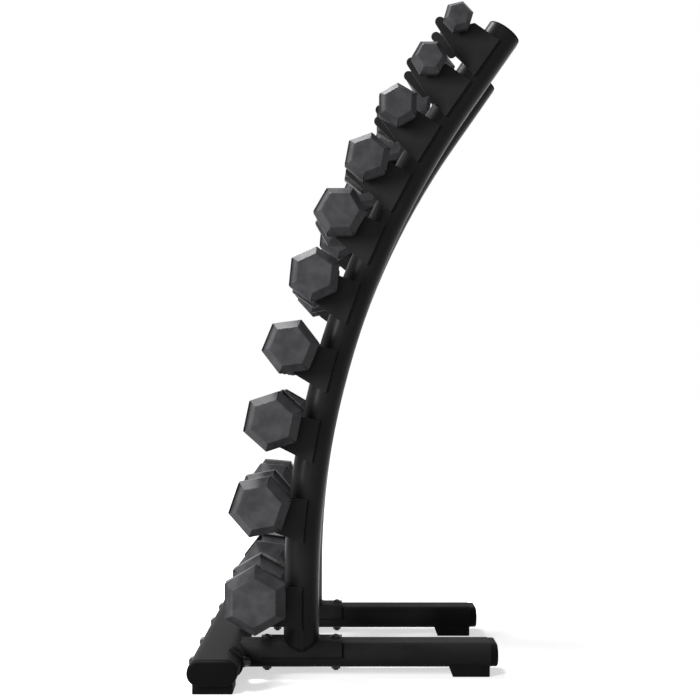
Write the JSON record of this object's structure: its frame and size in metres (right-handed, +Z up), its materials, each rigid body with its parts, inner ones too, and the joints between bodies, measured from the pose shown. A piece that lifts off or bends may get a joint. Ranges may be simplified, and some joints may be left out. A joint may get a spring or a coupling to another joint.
{
  "type": "dumbbell rack",
  "caption": "Free-standing dumbbell rack with curved twin uprights, paired cradle plates and a bolted base, loaded with lift-off hexagonal dumbbells.",
  "frame": {"origin": "on the floor, in the middle of the overall footprint", "axes": "+Z up, -X towards the front of the rack where the dumbbells are taken off, Y along the rack's width"},
  "size_m": [0.6758, 0.792, 1.3746],
  "materials": {
    "frame_paint": "satin black powder coat",
    "fastener_black": "black oxide, semi-gloss",
    "plug_plastic": "black moulded plastic",
    "foot_rubber": "matte black rubber",
    "rubber_coat": "satin black moulded rubber over iron",
    "handle_steel": "steel grip"
  },
  "bodies": {
    "rack": {"beam_bolts": "fastener_black", "beam_end_plugs": "plug_plastic", "beam_nuts": "fastener_black", "beam_washers": "fastener_black", "cradles_left": "frame_paint", "cradles_right": "frame_paint", "front_beam": "frame_paint", "front_feet": "foot_rubber", "joint_brackets": "frame_paint", "leg_end_plugs": "plug_plastic", "leg_left": "frame_paint", "leg_right": "frame_paint", "rear_feet": "foot_rubber", "saddle_bolts": "fastener_black", "saddle_nuts": "fastener_black", "saddle_washers": "fastener_black", "upright_end_plugs": "plug_plastic", "upright_left": "frame_paint", "upright_right": "frame_paint", "upright_saddles": "frame_paint"},
    "dumbbell_01_left": {"dumbbell_01_left_coats": "rubber_coat", "dumbbell_01_left_bar": "handle_steel"},
    "dumbbell_01_right": {"dumbbell_01_right_coats": "rubber_coat", "dumbbell_01_right_bar": "handle_steel"},
    "dumbbell_02_left": {"dumbbell_02_left_coats": "rubber_coat", "dumbbell_02_left_bar": "handle_steel"},
    "dumbbell_02_right": {"dumbbell_02_right_coats": "rubber_coat", "dumbbell_02_right_bar": "handle_steel"},
    "dumbbell_03_left": {"dumbbell_03_left_coats": "rubber_coat", "dumbbell_03_left_bar": "handle_steel"},
    "dumbbell_03_right": {"dumbbell_03_right_coats": "rubber_coat", "dumbbell_03_right_bar": "handle_steel"},
    "dumbbell_04_left": {"dumbbell_04_left_coats": "rubber_coat", "dumbbell_04_left_bar": "handle_steel"},
    "dumbbell_04_right": {"dumbbell_04_right_coats": "rubber_coat", "dumbbell_04_right_bar": "handle_steel"},
    "dumbbell_05_left": {"dumbbell_05_left_coats": "rubber_coat", "dumbbell_05_left_bar": "handle_steel"},
    "dumbbell_05_right": {"dumbbell_05_right_coats": "rubber_coat", "dumbbell_05_right_bar": "handle_steel"},
    "dumbbell_06_left": {"dumbbell_06_left_coats": "rubber_coat", "dumbbell_06_left_bar": "handle_steel"},
    "dumbbell_06_right": {"dumbbell_06_right_coats": "rubber_coat", "dumbbell_06_right_bar": "handle_steel"},
    "dumbbell_07_left": {"dumbbell_07_left_coats": "rubber_coat", "dumbbell_07_left_bar": "handle_steel"},
    "dumbbell_07_right": {"dumbbell_07_right_coats": "rubber_coat", "dumbbell_07_right_bar": "handle_steel"},
    "dumbbell_08_left": {"dumbbell_08_left_coats": "rubber_coat", "dumbbell_08_left_bar": "handle_steel"},
    "dumbbell_08_right": {"dumbbell_08_right_coats": "rubber_coat", "dumbbell_08_right_bar": "handle_steel"},
    "dumbbell_09_left": {"dumbbell_09_left_coats": "rubber_coat", "dumbbell_09_left_bar": "handle_steel"},
    "dumbbell_09_right": {"dumbbell_09_right_coats": "rubber_coat", "dumbbell_09_right_bar": "handle_steel"},
    "dumbbell_10_left": {"dumbbell_10_left_coats": "rubber_coat", "dumbbell_10_left_bar": "handle_steel"},
    "dumbbell_10_right": {"dumbbell_10_right_coats": "rubber_coat", "dumbbell_10_right_bar": "handle_steel"}
  },
  "joints": [
    {"name": "lift_01_left", "type": "slide", "parent": "rack", "child": "dumbbell_01_left", "axis": [-0.454, 0, 0.891], "range_m": [0, 0.3]},
    {"name": "lift_01_right", "type": "slide", "parent": "rack", "child": "dumbbell_01_right", "axis": [-0.454, 0, 0.891], "range_m": [0, 0.3]},
    {"name": "lift_02_left", "type": "slide", "parent": "rack", "child": "dumbbell_02_left", "axis": [-0.454, 0, 0.891], "range_m": [0, 0.3]},
    {"name": "lift_02_right", "type": "slide", "parent": "rack", "child": "dumbbell_02_right", "axis": [-0.454, 0, 0.891], "range_m": [0, 0.3]},
    {"name": "lift_03_left", "type": "slide", "parent": "rack", "child": "dumbbell_03_left", "axis": [-0.4999, 0, 0.8661], "range_m": [0, 0.3]},
    {"name": "lift_03_right", "type": "slide", "parent": "rack", "child": "dumbbell_03_right", "axis": [-0.4999, 0, 0.8661], "range_m": [0, 0.3]},
    {"name": "lift_04_left", "type": "slide", "parent": "rack", "child": "dumbbell_04_left", "axis": [-0.5546, 0, 0.8321], "range_m": [0, 0.3]},
    {"name": "lift_04_right", "type": "slide", "parent": "rack", "child": "dumbbell_04_right", "axis": [-0.5546, 0, 0.8321], "range_m": [0, 0.3]},
    {"name": "lift_05_left", "type": "slide", "parent": "rack", "child": "dumbbell_05_left", "axis": [-0.6079, 0, 0.794], "range_m": [0, 0.3]},
    {"name": "lift_05_right", "type": "slide", "parent": "rack", "child": "dumbbell_05_right", "axis": [-0.6079, 0, 0.794], "range_m": [0, 0.3]},
    {"name": "lift_06_left", "type": "slide", "parent": "rack", "child": "dumbbell_06_left", "axis": [-0.6636, 0, 0.748], "range_m": [0, 0.3]},
    {"name": "lift_06_right", "type": "slide", "parent": "rack", "child": "dumbbell_06_right", "axis": [-0.6636, 0, 0.748], "range_m": [0, 0.3]},
    {"name": "lift_07_left", "type": "slide", "parent": "rack", "child": "dumbbell_07_left", "axis": [-0.7221, 0, 0.6918], "range_m": [0, 0.3]},
    {"name": "lift_07_right", "type": "slide", "parent": "rack", "child": "dumbbell_07_right", "axis": [-0.7221, 0, 0.6918], "range_m": [0, 0.3]},
    {"name": "lift_08_left", "type": "slide", "parent": "rack", "child": "dumbbell_08_left", "axis": [-0.7761, 0, 0.6306], "range_m": [0, 0.3]},
    {"name": "lift_08_right", "type": "slide", "parent": "rack", "child": "dumbbell_08_right", "axis": [-0.7761, 0, 0.6306], "range_m": [0, 0.3]},
    {"name": "lift_09_left", "type": "slide", "parent": "rack", "child": "dumbbell_09_left", "axis": [-0.8306, 0, 0.5569], "range_m": [0, 0.3]},
    {"name": "lift_09_right", "type": "slide", "parent": "rack", "child": "dumbbell_09_right", "axis": [-0.8306, 0, 0.5569], "range_m": [0, 0.3]},
    {"name": "lift_10_left", "type": "slide", "parent": "rack", "child": "dumbbell_10_left", "axis": [-0.882, 0, 0.4712], "range_m": [0, 0.3]},
    {"name": "lift_10_right", "type": "slide", "parent": "rack", "child": "dumbbell_10_right", "axis": [-0.882, 0, 0.4712], "range_m": [0, 0.3]}
  ]
}
